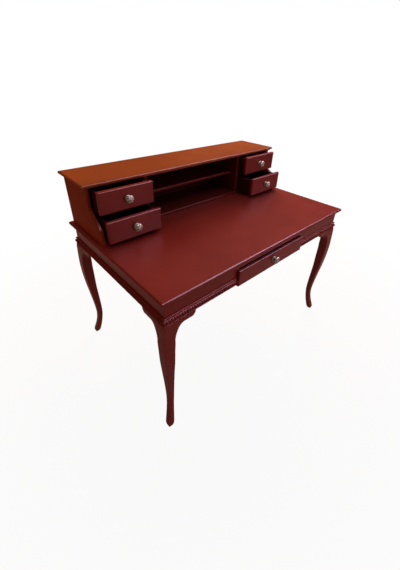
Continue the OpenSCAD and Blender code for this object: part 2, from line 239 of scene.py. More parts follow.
def quarter(radius, steps, start=0.0, stop=90.0):
    """Cosine and sine of an arc, each times the radius."""
    turn = np.radians(np.linspace(start, stop, steps + 1))
    return radius * np.cos(turn), radius * np.sin(turn)


def eased_profile(depth, low_radius, high_radius, steps=4):
    """Inset and height up an edge: rounded at the foot and at the head, with a flat margin inside both."""
    low_cos, low_sin = quarter(low_radius, steps, 90, 0)
    high_cos, high_sin = quarter(high_radius, steps)
    margin = 0.0012
    inset = np.concatenate([
        [low_radius + margin], low_radius - low_cos, high_radius - high_cos, [high_radius + margin]
    ])
    height = np.concatenate([
        [0.0], low_radius - low_sin, depth - high_radius + high_sin, [depth]
    ])
    return inset, height


def rect_rings(low, high, inset, height, corner, axis=2, steps=4):
    """Rounded rectangles stacked along an axis: each is the board's outline, set in by the profile's inset.

    The corner radius shrinks with the inset, so the edge keeps its section round the corners.
    """
    a, b = (axis + 1) % 3, (axis + 2) % 3
    side = np.array([[1, 1], [-1, 1], [-1, -1], [1, -1]], float)
    radius = np.maximum(corner - inset, 2e-5)
    turn = np.radians(90.0 * np.arange(4)[:, None] + np.linspace(0, 90, steps + 1)[None, :])
    rings = np.empty((len(inset), 4, steps + 1, 3))
    for k, which in enumerate((a, b)):
        middle = (low[which] + high[which]) / 2
        half = (high[which] - low[which]) / 2 - inset - radius
        wave = np.cos(turn) if k == 0 else np.sin(turn)
        rings[..., which] = (
            middle + side[None, :, None, k] * half[:, None, None] + radius[:, None, None] * wave[None]
        )
    rings[..., axis] = low[axis] + height[:, None, None]
    return rings.reshape(len(inset), -1, 3)


def eased_board(low, high, radius=None, axis=2):
    """A board whose twelve edges are all rounded by the same radius."""
    low, high = np.asarray(low, float), np.asarray(high, float)
    radius = sizes().edge_radius if radius is None else radius
    inset, height = eased_profile(high[axis] - low[axis], radius, radius)
    return loft(rect_rings(low, high, inset, height, radius, axis))


def moulded_board(low, high, round_radius, cove_radius, step):
    """A board with one moulded edge on all four sides: cove, small step, upright, rounded upper edge."""
    depth = high[2] - low[2]
    cove_cos, cove_sin = quarter(cove_radius, 8, 180, 90)
    head_cos, head_sin = quarter(round_radius, 7)
    inset = np.concatenate([
        [step + cove_radius + 0.002],
        step - cove_cos,
        [0.0008, 0.0],
        round_radius - head_cos,
        [round_radius + 0.002],
    ])
    height = np.concatenate([
        [0.0],
        cove_sin,
        [cove_radius, cove_radius + 0.0008],
        depth - round_radius + head_sin,
        [depth],
    ])
    return loft(rect_rings(low, high, inset, height, 0.004, steps=5))


def outline_rings(outline, inset, height, axis=0):
    """Copies of a closed outline, set in along its mitred normals and stacked along an axis."""
    edge = np.roll(outline, -1, axis=0) - outline
    edge /= np.linalg.norm(edge, axis=1)[:, None]
    normal = np.stack([-edge[:, 1], edge[:, 0]], axis=1)
    before = np.roll(normal, 1, axis=0)
    mitre = (normal + before) / (1 + np.sum(normal * before, axis=1))[:, None]
    flat = outline[None] + inset[:, None, None] * mitre[None]
    rings = np.empty((len(inset), len(outline), 3))
    rings[..., (axis + 1) % 3] = flat[..., 0]
    rings[..., (axis + 2) % 3] = flat[..., 1]
    rings[..., axis] = height[:, None]
    return rings


# ---- Finishes


class Shader:
    """Builds a Principled material node by node."""

    def __init__(self, name):
        self.material = bpy.data.materials.new(name)
        self.material.use_nodes = True
        self.tree = self.material.node_tree
        self.tree.nodes.clear()
        self.output = self.tree.nodes.new("ShaderNodeOutputMaterial")
        self.surface = self.tree.nodes.new("ShaderNodeBsdfPrincipled")
        self.tree.links.new(self.surface.outputs["BSDF"], self.output.inputs["Surface"])
        self.place = self.tree.nodes.new("ShaderNodeTexCoord").outputs["Object"]

    def set(self, **values):
        """Sets sockets of the Principled node; an underscore stands for a space."""
        for key, value in values.items():
            self.surface.inputs[key.replace("_", " ")].default_value = value

    def link(self, source, target):
        self.tree.links.new(source, self.surface.inputs[target])

    def mapped(self, scale, location=(0, 0, 0)):
        """Object coordinates, stretched by a scale along each axis."""
        node = self.tree.nodes.new("ShaderNodeMapping")
        node.inputs["Scale"].default_value = scale
        node.inputs["Location"].default_value = location
        self.tree.links.new(self.place, node.inputs["Vector"])
        return node.outputs["Vector"]

    def noise(self, vector, scale, detail=4.0, roughness=0.5, distortion=0.0):
        node = self.tree.nodes.new("ShaderNodeTexNoise")
        self.tree.links.new(vector, node.inputs["Vector"])
        node.inputs["Scale"].default_value = scale
        node.inputs["Detail"].default_value = detail
        node.inputs["Roughness"].default_value = roughness
        node.inputs["Distortion"].default_value = distortion
        return node.outputs["Fac"]

    def span(self, value, low, high, to_low=0.0, to_high=1.0, smooth=False):
        """Maps a value's range to another, clamped."""
        node = self.tree.nodes.new("ShaderNodeMapRange")
        node.interpolation_type = "SMOOTHSTEP" if smooth else "LINEAR"
        self.tree.links.new(value, node.inputs["Value"])
        for socket, number in zip(("From Min", "From Max", "To Min", "To Max"), (low, high, to_low, to_high)):
            node.inputs[socket].default_value = number
        return node.outputs["Result"]

    def mix(self, factor, first, second, blend="MIX"):
        """Mixes two colours; each is an RGB triple or an output socket."""
        node = self.tree.nodes.new("ShaderNodeMix")
        node.data_type = "RGBA"
        node.blend_type = blend
        if isinstance(factor, float):
            node.inputs[0].default_value = factor
        else:
            self.tree.links.new(factor, node.inputs[0])
        for socket, colour in ((node.inputs[6], first), (node.inputs[7], second)):
            if isinstance(colour, bpy.types.NodeSocket):
                self.tree.links.new(colour, socket)
            else:
                socket.default_value = (*colour, 1.0)
        return node.outputs[2]

    def math(self, operation, first, second):
        node = self.tree.nodes.new("ShaderNodeMath")
        node.operation = operation
        for socket, value in zip(node.inputs, (first, second)):
            if isinstance(value, (int, float)):
                socket.default_value = value
            else:
                self.tree.links.new(value, socket)
        return node.outputs[0]

    def split(self):
        """The x, y and z outputs of the object coordinates."""
        node = self.tree.nodes.new("ShaderNodeSeparateXYZ")
        self.tree.links.new(self.place, node.inputs[0])
        return node.outputs

    def bump(self, height, strength, distance):
        node = self.tree.nodes.new("ShaderNodeBump")
        node.inputs["Strength"].default_value = strength
        node.inputs["Distance"].default_value = distance
        self.tree.links.new(height, node.inputs["Height"])
        self.link(node.outputs["Normal"], "Normal")


# Stretch of the streaks along x for boards, and along z for upright pieces
BOARD_GRAIN = (1.0, 14.0, 14.0)
UPRIGHT_GRAIN = (14.0, 14.0, 1.0)
# Weight of the clear coat at full gloss
COAT_WEIGHT = 0.6


def lacquer(name, body, deep, grain=BOARD_GRAIN, gloss=1.0, front_gloss=None):
    """Satin lacquer over closed-grain wood.

    Broad drifts of a deeper tone, faint streaks along the board, a slightly uneven sheen and the fine
    ripple of a sprayed coat. A front gloss, if given, takes over where the surface turns to the front.
    """
    existing = bpy.data.materials.get(name)
    if existing:
        return existing
    finish = Shader(name)
    drift = finish.span(finish.noise(finish.place, 2.2, 3.0), 0.35, 0.7)
    streaks = finish.span(finish.noise(finish.mapped(grain), 16.0, 6.0, 0.6, 0.4), 0.3, 0.75)
    toned = finish.mix(drift, body, deep)
    grained = finish.mix(finish.math("MULTIPLY", streaks, 0.30), toned, deep)
    finish.link(grained, "Base Color")
    sheen = finish.noise(finish.place, 9.0, 4.0)
    finish.link(finish.span(sheen, 0.3, 0.7, 0.40, 0.50), "Roughness")
    finish.set(Coat_Weight=COAT_WEIGHT * gloss, Coat_Roughness=0.27, Specular_IOR_Level=0.03)
    if front_gloss is not None:
        turned = finish.tree.nodes.new("ShaderNodeSeparateXYZ")
        geometry = finish.tree.nodes.new("ShaderNodeNewGeometry")
        finish.tree.links.new(geometry.outputs["Normal"], turned.inputs[0])
        weight = finish.span(
            turned.outputs["Y"], -0.7, -0.1, COAT_WEIGHT * front_gloss, COAT_WEIGHT * gloss
        )
        finish.link(weight, "Coat Weight")
    ripple = finish.math(
        "ADD",
        finish.noise(finish.place, 420.0, 2.0),
        finish.math("MULTIPLY", finish.noise(finish.mapped(grain), 60.0, 3.0), 0.7),
    )
    finish.bump(ripple, 0.05, 0.0001)
    return finish.material


def mahogany():
    """The lacquer of fronts, legs and aprons."""
    return lacquer("satin_mahogany_along", tuple(colours().lacquer), tuple(colours().lacquer_deep))


def mahogany_upright():
    """The same lacquer with its streaks running up, for legs."""
    return lacquer(
        "satin_mahogany_upright", tuple(colours().lacquer), tuple(colours().lacquer_deep), UPRIGHT_GRAIN
    )


def mahogany_carved():
    """The same lacquer rubbed duller, for the carved strips."""
    return lacquer(
        "satin_mahogany_carved", tuple(colours().lacquer), tuple(colours().lacquer_deep), gloss=0.35
    )


def mahogany_painted_light_top():
    """The lacquer of the hutch top, lighter and more orange than the rest: painted warm light falling on the
    top.
    """
    body = tuple(colours().lacquer_painted_light_top)
    return lacquer("satin_mahogany_painted_light_top", body, tuple(0.8 * part for part in body), gloss=0.7)


def mahogany_painted_light_side():
    """The lacquer of the hutch sides, a deep orange that paints in warm side light: upright streaks, dull
    faces, glossy scrolled edge.
    """
    body = tuple(colours().lacquer_painted_light_side)
    deep = tuple(0.75 * part for part in body)
    return lacquer("satin_mahogany_painted_light_side", body, deep, UPRIGHT_GRAIN, gloss=0.05, front_gloss=1.0)


def mahogany_painted_shade_inner():
    """The thin coat on the boards inside the hutch, darkened as painted shade, for the shade inside the
    hutch.
    """
    body = tuple(colours().lacquer_painted_shade_inner)
    return lacquer("satin_mahogany_painted_shade_inner", body, tuple(0.7 * part for part in body), gloss=0.12)


def boxes_stain_and_painted_shade():
    """Dark matt stain of the drawer boxes and the hutch back, with open grain; its very dark tone is partly
    painted shade, for the shade inside the drawers and the hutch.
    """
    existing = bpy.data.materials.get("drawer_box_dark_stain_and_painted_shade")
    if existing:
        return existing
    finish = Shader("drawer_box_dark_stain_and_painted_shade")
    grain = finish.noise(finish.mapped((10.0, 1.0, 10.0)), 26.0, 6.0, 0.65, 0.6)
    stain = tuple(colours().box_dark_stain_and_painted_shade)
    light = tuple(min(1.0, 1.9 * part) for part in stain)
    finish.link(finish.mix(finish.span(grain, 0.3, 0.7), stain, light), "Base Color")
    finish.link(finish.span(grain, 0.3, 0.7, 0.5, 0.65), "Roughness")
    finish.set(Specular_IOR_Level=0.1)
    finish.bump(grain, 0.2, 0.0004)
    return finish.material


def raw_wood():
    """Bare hardwood: pale, with growth rings drawn out along the piece."""
    existing = bpy.data.materials.get("bare_hardwood")
    if existing:
        return existing
    finish = Shader("bare_hardwood")
    rings = finish.noise(finish.mapped((9.0, 1.0, 9.0)), 14.0, 8.0, 0.6, 1.2)
    wood = tuple(colours().bare_wood)
    dark = tuple(0.62 * part for part in wood)
    finish.link(finish.mix(finish.span(rings, 0.35, 0.65), wood, dark), "Base Color")
    finish.set(Roughness=0.7)
    finish.bump(rings, 0.3, 0.0005)
    return finish.material


def aged_pewter():
    """Cast pewter: raised parts rubbed bright, hollows dark with age."""
    existing = bpy.data.materials.get("aged_pewter")
    if existing:
        return existing
    finish = Shader("aged_pewter")
    attribute = finish.tree.nodes.new("ShaderNodeAttribute")
    attribute.attribute_name = "hollow"
    spots = finish.math("MULTIPLY", finish.span(finish.noise(finish.place, 160.0, 5.0), 0.4, 0.7), 0.35)
    age = finish.math("ADD", attribute.outputs["Fac"], spots)
    bright, dark = tuple(colours().pewter), tuple(colours().pewter_dark)
    finish.link(finish.mix(finish.span(age, 0.15, 1.0), bright, dark), "Base Color")
    finish.link(finish.span(age, 0.0, 1.0, 0.34, 0.62), "Roughness")
    finish.set(Metallic=0.35)
    finish.bump(finish.noise(finish.place, 700.0, 4.0), 0.25, 0.0002)
    return finish.material


def plated_steel():
    """Zinc plated screws with fine turning marks."""
    existing = bpy.data.materials.get("plated_steel")
    if existing:
        return existing
    finish = Shader("plated_steel")
    marks = finish.noise(finish.place, 900.0, 3.0)
    steel = tuple(colours().steel)
    finish.link(finish.mix(finish.span(marks, 0.3, 0.7), steel, tuple(0.7 * c for c in steel)), "Base Color")
    finish.link(finish.span(marks, 0.3, 0.7, 0.28, 0.42), "Roughness")
    finish.set(Metallic=1.0)
    return finish.material


# ---- Operators, one for each piece or group of like pieces


class DeskOperator(bpy.types.Operator):
    """Shared settings of the desk's operators."""

    bl_options = {"REGISTER", "UNDO"}


class DESK_OT_table_top(DeskOperator):
    """Makes the table top: one board with a cove, a small step and a rounded upper edge"""

    bl_idname = "desk.table_top"
    bl_label = "Table top"

    def execute(self, context):
        low, high = low_high("table_top")
        board = moulded_board(low, high, 9 * MM, 11 * MM, 2 * MM)
        make_piece("table_top_board", [board], mahogany(), "table_top")
        return {"FINISHED"}


# Part of the shaped length, bow of the outer corner past the apron, side of the section
LEG_STATIONS = np.array([
    [0.000, 15.0, 21.0], [0.009, 18.2, 27.5], [0.030, 17.2, 31.5], [0.070, 10.5, 30.5],
    [0.120, 2.0, 28.5], [0.185, -6.0, 27.0], [0.260, -9.5, 28.5], [0.350, -6.5, 32.0],
    [0.460, 0.0, 37.0], [0.565, 7.0, 42.5], [0.670, 12.5, 48.5], [0.780, 15.0, 51.0],
    [0.860, 13.8, 49.8], [0.930, 12.0, 48.0], [0.985, 10.0, 46.0], [1.000, 7.0, 43.0],
])


def smooth_stations(stations, steps):
    """Curve through stations: a cubic blend of four neighbours in turn."""
    padded = np.concatenate([stations[:1], stations, stations[-1:]])
    a, b, c, d = padded[:-3], padded[1:-2], padded[2:-1], padded[3:]
    t = np.linspace(0, 1, steps, endpoint=False)[None, :, None]
    a, b, c, d = (part[:, None, :] for part in (a, b, c, d))
    curve = 0.5 * (
        2 * b + (c - a) * t + (2 * a - 5 * b + 4 * c - d) * t**2 + (3 * b - a - 3 * c + d) * t**3
    )
    return np.concatenate([curve.reshape(-1, stations.shape[1]), stations[-1:]])


def leg_bow(height):
    """Bow of the leg's outer corner past the apron at a height, in metres."""
    shaped = smooth_stations(LEG_STATIONS, 6)
    return np.interp(height, shaped[:, 0] * APRON_Z, shaped[:, 1] * MM)


KNEE_LOW = APRON_Z - 150 * MM


def leg_rings(side_x, side_y):
    """Sections of a leg from floor to table top.

    Each is a square with rounded corners, whose outer corner bows along the diagonal. That corner is a
    crisp ridge that rounds off at the toe. The other three are soft below the knee and sharp beside the
    brackets, so that knee and brackets read as one face.
    """
    shaped = smooth_stations(LEG_STATIONS, 6)
    z = np.concatenate([shaped[:, 0] * APRON_Z, [APRON_Z + 0.0005, UNDER_TOP]])
    bow = np.concatenate([shaped[:, 1] * MM, [0, 0]])
    side = np.concatenate([shaped[:, 2] * MM, [POST, POST]])
    steps = 5
    knee = np.clip((z - KNEE_LOW) / (40 * MM), 0, 1)
    toe = np.clip(1 - z / (16 * MM), 0, 1)
    soft = np.minimum(6 * MM, 0.17 * side) * (1 - knee) + 0.25 * MM * knee + 2 * MM * toe
    ridge = 2.4 * MM - 1.2 * MM * knee + 6 * MM * toe**1.5
    turn = np.radians(90.0 * np.arange(4)[:, None] + np.linspace(0, 90, steps + 1)[None, :])
    radius = np.stack([ridge, soft, soft, soft], axis=1)
    right = np.array([1, 0, 0, 1])
    back = np.array([1, 1, 0, 0])
    outer_x = HALF_X + bow[:, None]
    outer_y = HALF_Y + bow[:, None]
    centre_x = np.where(right, outer_x - radius, outer_x - side[:, None] + radius)
    centre_y = np.where(back, outer_y - radius, outer_y - side[:, None] + radius)
    x = centre_x[..., None] + radius[..., None] * np.cos(turn)
    y = centre_y[..., None] + radius[..., None] * np.sin(turn)
    rings = np.stack([x, y, np.broadcast_to(z[:, None, None], x.shape)], axis=-1)
    rings = rings.reshape(len(z), -1, 3)
    rings[..., 0] *= side_x
    rings[..., 1] = MIDDLE_Y + side_y * rings[..., 1]
    return rings


def corner_sides(corner):
    """Signs of x and y at a named corner."""
    return (-1 if corner.endswith("left") else 1), (-1 if corner.startswith("front") else 1)


class DESK_OT_legs(DeskOperator):
    """Makes the four cabriole legs with their posts"""

    bl_idname = "desk.legs"
    bl_label = "Cabriole legs"

    def execute(self, context):
        for corner in CORNERS:
            shell = loft(leg_rings(*corner_sides(corner)))
            make_piece(f"cabriole_leg_{corner}", [shell], mahogany_upright(), f"leg_{corner}", sharp=38)
        return {"FINISHED"}


BRACKET_LENGTH = 108 * MM
BRACKET_DROP = 110 * MM
BRACKET_FLAT = 25 * MM
BRACKET_CURVE = 52 * MM
NOSE_RADIUS = 21 * MM
BRACKET_PROUD = 8 * MM
BRACKET_DEPTH = 24 * MM


def bracket_shell():
    """A knee bracket as closed rings from the leg to its tip, in (along, out, up).

    The lower outline is a quarter ellipse up from the leg, a short level and a round nose. Each ring goes
    from that outline up to the apron. The face is flush with the knee at the leg and sinks to the bracket's
    own level along the apron, and its lower edge is rounded.
    """
    rise = np.radians(np.linspace(0, 90, 26))
    ellipse = np.stack([
        BRACKET_CURVE * (1 - np.cos(rise)),
        (BRACKET_DROP - BRACKET_FLAT) * np.sin(rise) - BRACKET_DROP,
    ], 1)
    turn = np.radians(np.linspace(-90, 0, 12))
    nose = np.stack([
        BRACKET_LENGTH - NOSE_RADIUS + NOSE_RADIUS * np.cos(turn),
        NOSE_RADIUS - BRACKET_FLAT + NOSE_RADIUS * np.sin(turn),
    ], 1)
    lower = np.concatenate([ellipse, nose])
    tangent = np.gradient(lower, axis=0)
    tangent /= np.linalg.norm(tangent, axis=1)[:, None]
    inward = np.stack([-tangent[:, 1], tangent[:, 0]], axis=1)
    share = np.linspace(0, 1, len(lower))
    upper = np.stack([BRACKET_LENGTH * share**1.35, np.zeros(len(lower))], axis=1)
    radius = 3.2 * MM
    arc = np.radians(np.linspace(90, 0, 6))
    rows = []
    face = np.linspace(0, 1, 9)
    start = lower + inward * radius
    start[:, 0] = np.clip(start[:, 0], 0, BRACKET_LENGTH)
    start[:, 1] = np.minimum(start[:, 1], -0.2 * MM)

    def level(flat):
        """How far out the face stands at a place along and under the apron."""
        knee = leg_bow(APRON_Z + flat[:, 1])
        blend = np.clip(1 - flat[:, 0] / (46 * MM), 0, 1)
        blend = blend * blend * (3 - 2 * blend)
        return BRACKET_PROUD + (knee - BRACKET_PROUD) * blend

    back = BRACKET_PROUD - BRACKET_DEPTH
    rows.append(np.column_stack([upper[:, 0], np.full(len(lower), back), upper[:, 1]]))
    for t in face:
        flat = upper * (1 - t) + start * t
        rows.append(np.column_stack([flat[:, 0], level(flat), flat[:, 1]]))
    for a in arc[1:]:
        flat = lower + inward * radius * (1 - np.cos(a))
        flat[:, 0] = np.clip(flat[:, 0], 0, BRACKET_LENGTH)
        flat[:, 1] = np.minimum(flat[:, 1], -0.1 * MM)
        out = level(flat) - radius + radius * np.sin(a)
        rows.append(np.column_stack([flat[:, 0], out, flat[:, 1]]))
    rows.append(np.column_stack([lower[:, 0], np.full(len(lower), back), lower[:, 1]]))
    return np.stack(rows, axis=1)


class DESK_OT_knee_brackets(DeskOperator):
    """Makes the pair of scrolled brackets beside each knee"""

    bl_idname = "desk.knee_brackets"
    bl_label = "Knee brackets"

    def execute(self, context):
        local = bracket_shell()
        for corner in CORNERS:
            side_x, side_y = corner_sides(corner)
            along, out, up = local[..., 0], local[..., 1], local[..., 2] + APRON_Z
            facing = np.stack([
                side_x * (HALF_X - POST - along), MIDDLE_Y + side_y * (HALF_Y + out), up
            ], axis=-1)
            beside = np.stack([
                side_x * (HALF_X + out), MIDDLE_Y + side_y * (HALF_Y - POST - along), up
            ], axis=-1)
            make_piece(
                f"knee_bracket_pair_{corner}",
                [loft(facing), loft(beside)],
                mahogany_upright(),
                f"knee_brackets_{corner}",
                sharp=40,
            )
        return {"FINISHED"}


def moulding_profile():
    """Section of the apron moulding: out, up, and how deep the carving may cut, from foot to head."""
    strand = np.radians(np.linspace(-90, 62, 7))
    strip = np.radians(np.linspace(-68, 68, 17))
    bead = np.radians(np.linspace(-60, 90, 9))
    proud = 12.5
    out = np.concatenate([
        [0], 0.72 * proud * np.cos(strand), proud * np.cos(strip), [3, 3], 7 * np.cos(bead)
    ])
    up = np.concatenate([
        [0], 3.5 + 3.5 * np.sin(strand), 17 + 10 * np.sin(strip), [27.5, 28.9], 33.5 + 4.6 * np.sin(bead)
    ])
    cut = np.zeros(len(out))
    cut[8:25] = np.cos(np.radians(np.linspace(-80, 80, 17)))**0.5
    return out * MM, up * MM, cut


def carved_strip(length, start, stop):
    """Rings of a moulding along its length, in (along, out, up), mitred where start or stop is an end.

    The strip between strand and bead is cut into slanted nubs: its distance out is the section's, less a
    share that grows towards the cuts as the absolute sine of the place along it.
    """
    out, up, cut = moulding_profile()
    count = round(length / sizes().nub_pitch)
    pitch = length / count
    columns = int(abs(stop - start) / pitch * 8) + 1
    share = np.linspace(0, 1, columns)[:, None]
    first = start - out[None] if abs(start + length / 2) < 1e-6 else start
    last = stop + out[None] if abs(stop - length / 2) < 1e-6 else stop
    along = first * (1 - share) + last * share
    lean = sizes().nub_slant * (up[None] - 17 * MM) / (20 * MM)
    lobe = np.abs(np.sin(np.pi * (along / pitch + lean + 0.5 * (count % 2)))) ** 0.7
    deep = 1 - sizes().nub_depth * cut[None] * (1 - lobe)
    return np.stack([along, out[None] * deep, np.broadcast_to(up, along.shape)], axis=-1)


class DESK_OT_mouldings(DeskOperator):
    """Makes the carved strip with its bead and strand round the foot of the aprons"""

    bl_idname = "desk.mouldings"
    bl_label = "Apron mouldings"

    def execute(self, context):
        gap_low, gap_high = low_high("centre_front")
        clear = gap_high[0] + 1 * MM
        long_side, short_side = 2 * HALF_X, 2 * HALF_Y

        def placed(strip, side_x, side_y):
            along, out, up = strip[..., 0], strip[..., 1], strip[..., 2] + APRON_Z
            if side_y:
                return np.stack([along, MIDDLE_Y + side_y * (HALF_Y + out), up], axis=-1)
            return np.stack([side_x * (HALF_X + out), MIDDLE_Y + along, up], axis=-1)

        front = [
            loft(placed(carved_strip(long_side, -long_side / 2, -clear), 0, -1)),
            loft(placed(carved_strip(long_side, clear, long_side / 2), 0, -1)),
        ]
        whole = carved_strip(long_side, -long_side / 2, long_side / 2)
        short = carved_strip(short_side, -short_side / 2, short_side / 2)
        make_piece("carved_moulding_front", front, mahogany_carved(), "moulding_front", sharp=50)
        carved = mahogany_carved()
        make_piece("carved_moulding_back", [loft(placed(whole, 0, 1))], carved, "moulding_back", sharp=50)
        make_piece("carved_moulding_left", [loft(placed(short, -1, 0))], carved, "moulding_left", sharp=50)
        make_piece("carved_moulding_right", [loft(placed(short, 1, 0))], carved, "moulding_right", sharp=50)
        return {"FINISHED"}


class DESK_OT_frame_boards(DeskOperator):
    """Finishes the aprons and the parts under the top"""

    bl_idname = "desk.frame_boards"
    bl_label = "Aprons and inner frame"

    def execute(self, context):
        for side in ("front", "back", "left", "right"):
            finish_node(f"apron_{side}", mahogany())
        for node in ("corner_blocks", "centre_runners", "hutch_dowels"):
            finish_node(node, raw_wood())
        finish_node("assembly_screws", plated_steel())
        return {"FINISHED"}


def side_outline(node):
    """Outline of a scrolled side panel in (y, z): straight above, an ogee forward, upright at the foot."""
    low, high = low_high(node)
    front = low_high("hutch_partition_left")[0][1]
    reach = front - low[1]
    s = np.linspace(0, 1, 33)
    ogee_y = front - (reach - 4 * MM) * (3 * s**2 - 2 * s**3)
    ogee_z = low[2] + (152 - 94 * s) * MM
    foot = np.array([[low[1], low[2] + 12 * MM], [low[1], low[2]]])
    rest = np.array([[high[1], low[2]], [high[1], high[2]], [front, high[2]]])
    return np.concatenate([rest, np.column_stack([ogee_y, ogee_z]), foot])


class DESK_OT_hutch(DeskOperator):
    """Makes the boards of the hutch: top, scrolled sides, partitions, base, shelf and dividers"""

    bl_idname = "desk.hutch"
    bl_label = "Hutch"

    def execute(self, context):
        low, high = low_high("hutch_top")
        board = moulded_board(low, high, 7 * MM, 8 * MM, 2 * MM)
        # The top's lacquer carries painted warm light.
        make_piece("hutch_top_board", [board], mahogany_painted_light_top(), "hutch_top")
        for side in ("left", "right"):
            node = f"hutch_side_{side}"
            low, high = low_high(node)
            inset, height = eased_profile(high[0] - low[0], 4 * MM, 4 * MM, 5)
            rings = outline_rings(side_outline(node), inset, low[0] + height)
            # The side panels' lacquer carries painted warm side light.
            make_piece(f"hutch_side_panel_{side}", [loft(rings)], mahogany_painted_light_side(), node)
            # The partitions, and below them the base, shelf and dividers, take the inner lacquer, darkened as
            # painted shade.
            node = f"hutch_partition_{side}"
            board = eased_board(*low_high(node))
            make_piece(f"hutch_partition_panel_{side}", [board], mahogany_painted_shade_inner(), node)
        for node in ("hutch_base", "hutch_shelf"):
            make_piece(f"{node}_board", [eased_board(*low_high(node), 4 * MM)], mahogany_painted_shade_inner(), node)
        low, high = low_high("drawer_dividers")
        inner = low_high("hutch_partition_right")[1][0]
        left = (np.array([low[0], low[1], low[2]]), np.array([-inner, high[1], high[2]]))
        right = (np.array([inner, low[1], low[2]]), np.array([high[0], high[1], high[2]]))
        boards = [eased_board(*left), eased_board(*right)]
        make_piece("drawer_divider_boards", boards, mahogany_painted_shade_inner(), "drawer_dividers")
        # The hutch back takes the drawer boxes' dark stain, which partly paints in the shade at the back of
        # the hutch.
        finish_node("hutch_back", boxes_stain_and_painted_shade())
        return {"FINISHED"}


class DESK_OT_drawers(DeskOperator):
    """Makes the rounded drawer fronts and finishes the drawer boxes"""

    bl_idname = "desk.drawers"
    bl_label = "Drawers"

    def execute(self, context):
        wall = 12 * MM
        for name in DRAWERS:
            low, high = low_high(f"{name}_front")
            radius = sizes().front_radius
            inset, height = eased_profile(high[1] - low[1], radius, 1 * MM, 6)
            rings = rect_rings(low, high, inset, height, 1.2 * MM, axis=1, steps=3)
            make_piece(f"{name}_drawer_face", [loft(rings)], mahogany(), f"{name}_front")
            low, high = low_high(f"{name}_sides")
            boards = [
                eased_board(low, [low[0] + wall, high[1], high[2]], 1.5 * MM),
                eased_board([high[0] - wall, low[1], low[2]], high, 1.5 * MM),
            ]
            make_piece(f"{name}_drawer_walls", boards, boxes_stain_and_painted_shade(), f"{name}_sides")
            for part in ("back", "bottom"):
                finish_node(f"{name}_{part}", boxes_stain_and_painted_shade())
        return {"FINISHED"}


def knob_surface(petals):
    """Rings of a knob about its axis, in (across, up, out), and how deep in a hollow each point lies.

    A petalled rosette, a slim stem and a round head. The head's face carries a flower: two rounds of
    petals, whose edges are cut by the sine of the angle, round a raised centre.
    """
    turn = np.linspace(0, 2 * np.pi, 96, endpoint=False)
    # Radius, distance out, scallop of the outline and depth of the relief, in millimetres
    stations = np.array([
        [15.0, 0.0, 0.9, 0.0], [15.0, 1.4, 0.9, 0.0], [14.0, 2.6, 0.9, 0.2], [12.0, 3.0, 0.7, 0.5],
        [9.0, 3.4, 0.3, 0.5], [7.2, 4.4, 0.0, 0.1], [6.2, 6.2, 0.0, 0.0], [6.0, 9.0, 0.0, 0.0],
        [6.6, 11.5, 0.0, 0.0], [8.6, 13.4, 0.0, 0.0], [12.6, 14.8, 0.2, 0.0], [16.6, 16.0, 0.5, 0.0],
        [18.2, 17.6, 0.5, 0.0], [18.4, 19.6, 0.5, 0.0], [17.6, 21.4, 0.5, 0.2], [16.2, 22.9, 0.3, 0.8],
        [14.4, 24.0, 0.0, 1.3], [12.4, 24.9, 0.0, 1.3], [10.6, 25.4, 0.0, 0.7], [9.4, 25.3, 0.0, 0.4],
        [8.4, 25.8, 0.0, 1.0], [6.6, 26.6, 0.0, 1.2], [4.9, 26.9, 0.0, 0.7], [3.9, 26.6, 0.0, 0.2],
        [3.3, 27.2, 0.0, 0.0], [2.2, 27.8, 0.0, 0.0], [1.0, 28.0, 0.0, 0.0], [0.05, 28.0, 0.0, 0.0],
    ])
    curve = smooth_stations(stations, 3)
    radius, out, scallop, relief = (curve[:, k, None] for k in range(4))
    inner_round = radius < 9.6
    phase = np.where(inner_round, np.pi, 0.0)
    lobe = np.abs(np.cos((petals * turn[None, :] + phase) / 2)) ** 0.6
    size = radius - scallop * (1 - lobe)
    depth = out - relief * (1 - lobe)
    depth = np.minimum(depth, 28.0)
    rings = np.stack([size * np.cos(turn), size * np.sin(turn), depth], axis=-1) * MM
    stem = np.clip((out - 3.0) / 2, 0, 1) * np.clip((16.5 - out) / 3, 0, 1)
    ring_valley = np.exp(-((radius - 9.6) / 0.9) ** 2) + np.exp(-((radius - 4.0) / 0.6) ** 2)
    hollow = np.clip(1.1 * relief * (1 - lobe) + 0.9 * stem + 0.8 * ring_valley * (out > 20), 0, 1)
    return rings, hollow


class DESK_OT_knobs(DeskOperator):
    """Makes the cast knobs with their flowers, and finishes their screws"""

    bl_idname = "desk.knobs"
    bl_label = "Knobs"

    def execute(self, context):
        rings, hollow = knob_surface(sizes().petals)
        for name in DRAWERS:
            low, high = low_high(f"{name}_knob")
            x, z = (low[0] + high[0]) / 2, (low[2] + high[2]) / 2
            placed = np.stack([x - rings[..., 0], high[1] - rings[..., 2], z + rings[..., 1]], axis=-1)
            points, faces = loft(placed)
            piece = make_piece(
                f"{name}_flower_knob", [(points, faces)], aged_pewter(), f"{name}_knob", sharp=60
            )
            layer = piece.data.attributes.new("hollow", "FLOAT", "POINT")
            layer.data.foreach_set("value", hollow.reshape(-1).astype(np.float32))
            finish_node(f"{name}_knob_screw", plated_steel())
        return {"FINISHED"}


# ---- Stage

CAMERA_PLACE = (-1.0441, -1.0106, 1.4398)
CAMERA_HEADING = math.degrees(0.8194)
CAMERA_TILT = math.degrees(-0.557)
CAMERA_ROLL = math.degrees(0.0337)
CAMERA_LENS = 18.15
CAMERA_SHIFT = (-0.0045, -0.0573)


